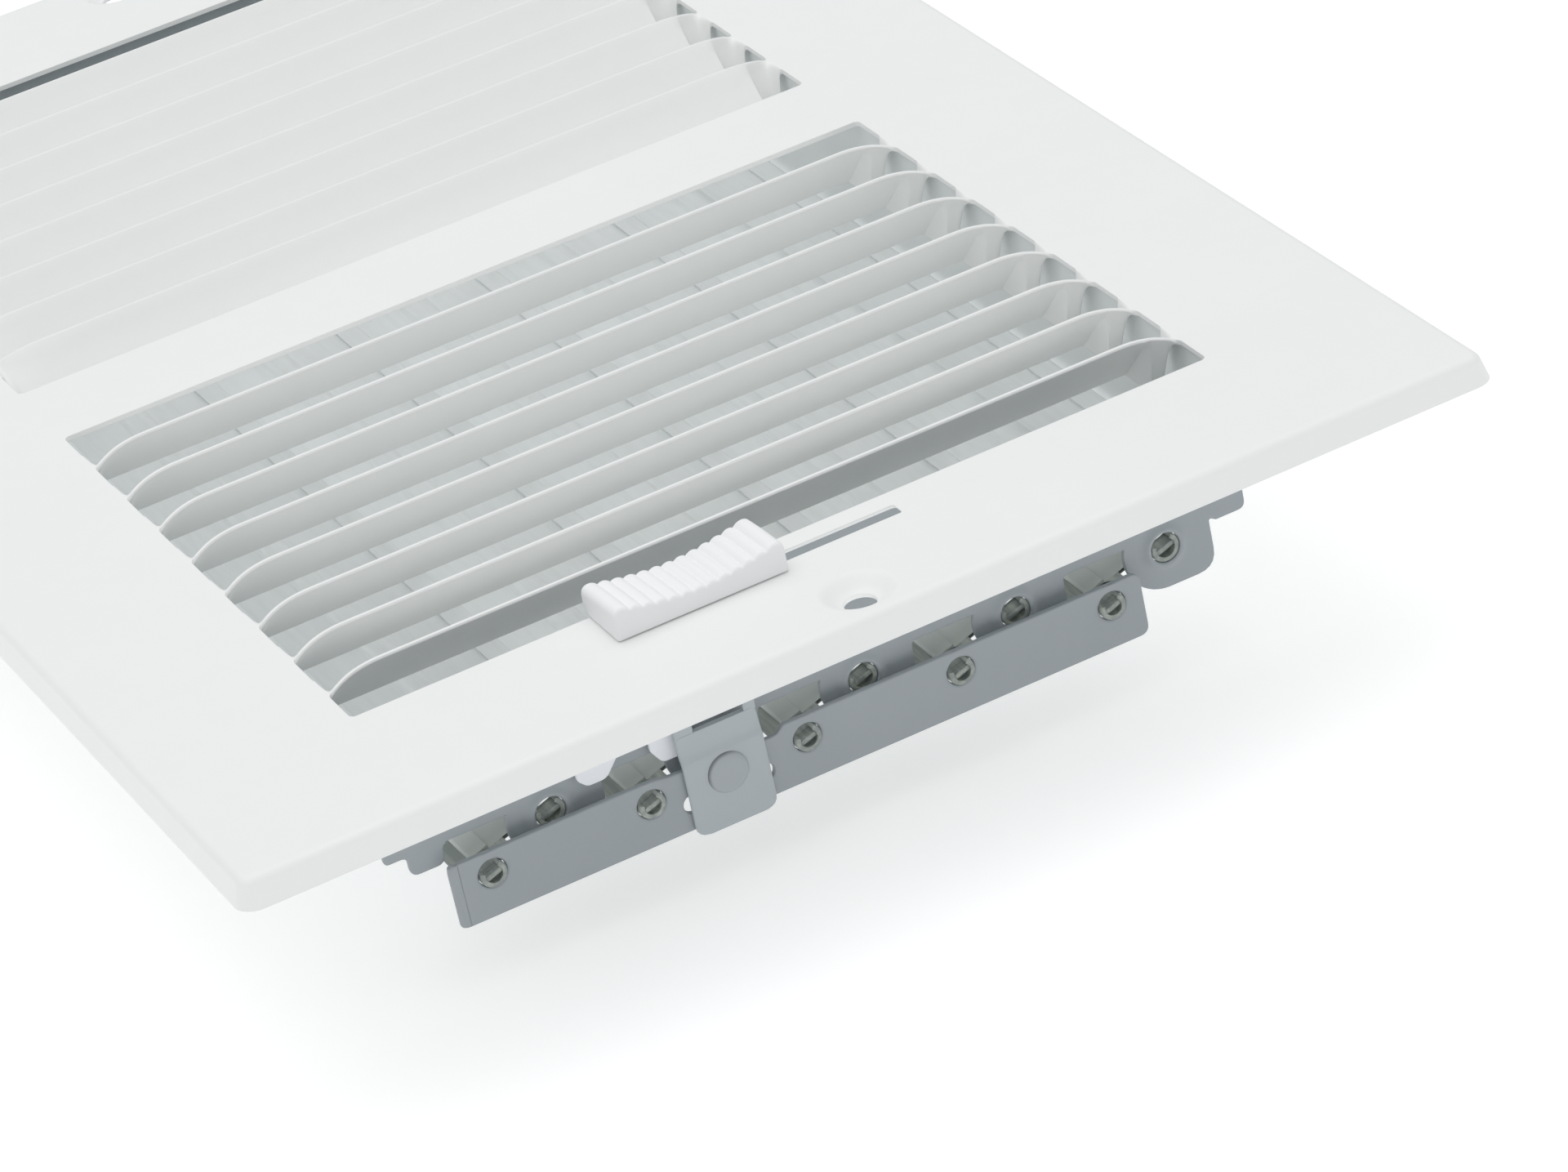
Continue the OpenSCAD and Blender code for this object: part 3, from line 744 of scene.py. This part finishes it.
def strap():
    """Riveted strap: it laps the bar, steps back above it and ends in a fork."""
    b = Build()
    z0, z1 = -32.55, -1.2
    half, notch = 6.45, 4.0
    half_t, corner, step_y = 0.48, 1.5, 0.42
    fork_z, fork_t = -16.5, 0.94
    xs = [-1, -0.985, -0.9, -0.72, -0.62, -0.3, 0, 0.3, 0.62, 0.72, 0.9, 0.985, 1]
    zs = [z0, z0 + 0.12, z0 + 0.45, z0 + 1.0, z0 + 1.8, z0 + 3.5, -27, -24.6, -22.5, -21.4, -20.8, -20.3,
          -19.8, -19.2, -18.4, -17.2, -16.6, -16.2]

    def half_width(z):
        d = min(z - z0, corner)
        return half - (corner - math.sqrt(max(0.0, corner ** 2 - (corner - d) ** 2)))

    def thickness(u):
        if abs(u) <= 0.93:
            return half_t
        return max(0.12, half_t * math.sqrt(max(0.0, 1 - ((abs(u) - 0.93) / 0.07) ** 2)))

    def section(z):
        w = half_width(z)
        y = STRAP_Y + step_y * smooth((z + 20.9) / 1.7)
        x0 = STRAP_X - 0.25 * smooth((z + 20) / 6)
        bow = 0.02 * smooth((z + 26) / 8)
        outer = [(x0 + u * w, y - thickness(u) - bow * (1 - u * u), z) for u in xs]
        inner = [(x0 + u * w, y + thickness(u), z) for u in xs]
        return outer + inner[::-1]

    b.skin([section(z) for z in zs], cap0=True, cap1=True)
    for s in (-1, 1):
        lo, hi = sorted((TONGUE_X - STRAP_X + s * notch, s * half - 0.02))
        x0, x1 = STRAP_X + lo, STRAP_X + hi
        prong = fillet([(x0, fork_z), (x1, fork_z), (x1, z1), (x0, z1)], [0, 0, 0.7, 0.7])
        plate(b, prong, [], fork_t, lambda x, z, w: (x - 0.1, STRAP_Y + step_y - w, z), 0.2)
    b.make("strap_sheet", "linkage", M_STRAP, "operating_strap", sharp=50)


strap()


def strap_rivet():
    """Flat-headed rivet; the profile is (radius, height over the strap's middle)."""
    b = Build()
    prof = [(0.001, 0.98), (1.2, 0.98), (2.2, 0.95), (2.75, 0.88), (3.05, 0.74), (3.2, 0.55), (HEAD_R, 0.35),
            (3.12, 0.2), (2.4, 0.2), (1.4, 0.2), (1.4, -1.5), (2.1, -1.52), (2.2, -1.66), (2.1, -1.88),
            (1.5, -2.0), (0.001, -2.0)]
    b.skin([[(x, STRAP_Y - w, z) for x, z in circle(STRAP_X, HEAD_Z, r, 48)] for r, w in prof])
    b.make("strap_rivet_head", "linkage", M_HEAD, "strap_rivet")


strap_rivet()


# ---------------------------------------------------------------- thumb slider
def end_cut(r, dx):
    """How far an end corner of radius r has cut in at a distance dx from the end."""
    return r - math.sqrt(max(0.0, r * r - (r - dx) ** 2)) if dx < r else 0.0


def knob():
    """Knob with a dished, ribbed top, its stem in the face's slot and its tongue in the strap's fork."""
    b = Build()
    half, y0, y1 = 13.4, -129.0, -117.6
    end_z, dish_z, slope_z = 5.30, 2.05, 0.75
    plain, pitch, ridges, groove_z, crest_z = 2.7, 1.94, 11, 0.46, 0.22
    end_r, top_r, edge, base_z, crown_z = 0.45, 1.7, 0.60, 0.28, 0.10
    ends = (0, 0.06, 0.2, 0.42, 0.7, 1.0, 1.35, 1.7)
    xs = [-half + d for d in ends] + [half - d for d in ends]
    xs += [-half + plain + k * pitch / 10 for k in range(-6, 117)]

    def dish(x, y):
        across = (y - y0) / (y1 - y0)
        return end_z - dish_z * (1 - abs(x / half) ** 1.75) - slope_z * across

    def ridge(x):
        k = (x + half - plain) / pitch
        wave = abs(math.sin(math.pi * k)) ** 0.75 if -0.5 < k < ridges + 0.5 else 1
        return groove_z * (wave - 1) + crest_z

    loops = []
    for x in sorted(set(xs)):
        dx = half - abs(x)
        a, c = y0 + end_cut(end_r, dx), y1 - end_cut(end_r, dx)
        drop = end_cut(top_r, dx)
        near, far, crown = [], [], []
        for k in range(7):
            ang = math.radians(90 * k / 6)
            inward = edge - edge * math.cos(ang)
            for row, y in ((near, a + inward), (far, c - inward)):
                top = dish(x, y) + ridge(x) - drop - ridge(x) * (1 - math.sin(ang)) * 0.85
                row.append((y, top - edge + edge * math.sin(ang)))
        for k in range(1, 8):
            y = a + edge + (c - a - 2 * edge) * k / 8
            crown.append((y, dish(x, y) + ridge(x) - drop + crown_z * math.sin(math.pi * k / 8)))
        pts = [(a + 0.04, base_z), (a, 0.5)] + near + crown + far[::-1] + [(c, 0.5), (c - 0.04, base_z)]
        loops.append([(KNOB_X + x, y, ZF + z) for y, z in pts])
    b.skin(loops, cap0=True, cap1=True)
    stem_half, tongue_half, half_y = 2.95, 1.45, 1.05
    stem_z, tongue_z0, tongue_z1 = 2.15, -12.15, 2.4
    lo, hi = SLIDE_Y - half_y, SLIDE_Y + half_y
    box(b, (TONGUE_X - stem_half, lo, stem_z), (TONGUE_X + stem_half, hi, ZF + 0.6))
    box(b, (TONGUE_X - tongue_half, lo, tongue_z0), (TONGUE_X + tongue_half, hi, tongue_z1), 0.5, 0.4)
    b.make("ribbed_knob", "slider", M_KNOB, "thumb_slider", sharp=60)


knob()


def retainer():
    """Clip under the face: a bridge with a hole for the stem, and two legs."""
    b = Build()
    x0, x1, y0, y1 = -41.3, -12.05, -127.05, -122.0
    bridge = fillet([(x0, y0), (x1, y0), (x1, y1), (x0, y1)], 0.6)
    bridge_z, bridge_t, leg_y, leg_t = 2.7, 0.76, -122.3, 0.66
    hole_x, hole_y = 3.05, 1.15
    corners = ((-1, -1), (1, -1), (1, 1), (-1, 1))
    hole = [(TONGUE_X + sx * hole_x, SLIDE_Y + sy * hole_y) for sx, sy in corners]
    plate(b, bridge, [hole], bridge_t, lambda x, y, w: (x, y, bridge_z + w), 0.15)
    legs = [[(-40.0, 3.0), (-40.0, -17.4), (-38.6, -18.75), (-35.6, -18.75), (-31.0, -13.2), (-31.0, 3.0)],
            [(-28.5, 3.0), (-28.5, -17.6), (-27.0, -20.0), (-23.6, -20.0), (-22.0, -17.6), (-22.0, 3.0)]]
    for leg in legs:
        plate(b, fillet(leg, [0, 1.6, 1.4, 1.8, 2.5, 0], 7), [], leg_t, front(leg_y), 0.2)
    b.make("slider_clip", "slider", M_CLIP, "slider_retainer")


retainer()


# ---------------------------------------------------------------- stage and light
def stage():
    """Pale floor, slightly lit from itself so that it stays near white."""
    me = bpy.data.meshes.new("floor")
    z, r = FLOOR_Z * MM, 4.0
    me.from_pydata([(-r, -r, z), (r, -r, z), (r, r, z), (-r, r, z)], [], [(0, 1, 2, 3)])
    ob = bpy.data.objects.new("floor", me)
    scene.collection.objects.link(ob)
    mat = bpy.data.materials.new("pale_floor")
    mat.use_nodes = True
    bsdf = mat.node_tree.nodes["Principled BSDF"]
    put(bsdf, {"Base Color": (0.93, 0.93, 0.93, 1), "Roughness": 0.9})
    put(bsdf, {"Emission Color": (1, 1, 1, 1), "Emission Strength": 0.36})
    me.materials.append(mat)


def area(name, loc, target, size, power):
    """Soft light at loc that looks at target."""
    light = bpy.data.lights.new(name, "AREA")
    light.shape = "RECTANGLE"
    light.size, light.size_y = size
    light.energy = power
    ob = bpy.data.objects.new(name, light)
    ob.location = loc
    ob.rotation_euler = (Vector(target) - Vector(loc)).to_track_quat("-Z", "Y").to_euler()
    scene.collection.objects.link(ob)


stage()
area("overhead_softbox", (-0.1, 0.1, 1.5), (0, 0, 0), (1.6, 1.6), 9.4)
area("front_fill", (0.15, -1.5, 0.52), (0, -0.05, 0), (1.4, 0.8), 0.5)

# A near-white sky, brighter overhead
world = bpy.data.worlds.new("studio")
scene.world = world
world.use_nodes = True
sky = world.node_tree
put(sky.nodes["Background"], {"Color": (0.965, 0.985, 1.0, 1)})
up = node(sky, "ShaderNodeSeparateXYZ")
sky.links.new(node(sky, "ShaderNodeTexCoord").outputs["Generated"], up.inputs["Vector"])
sky.links.new(ramp(sky, up.outputs["Z"], 0.0, 0.8, 0.15, 0.76), sky.nodes["Background"].inputs["Strength"])

# The photo has low contrast
scene.view_settings.view_transform = "Standard"
scene.view_settings.gamma = 1.30
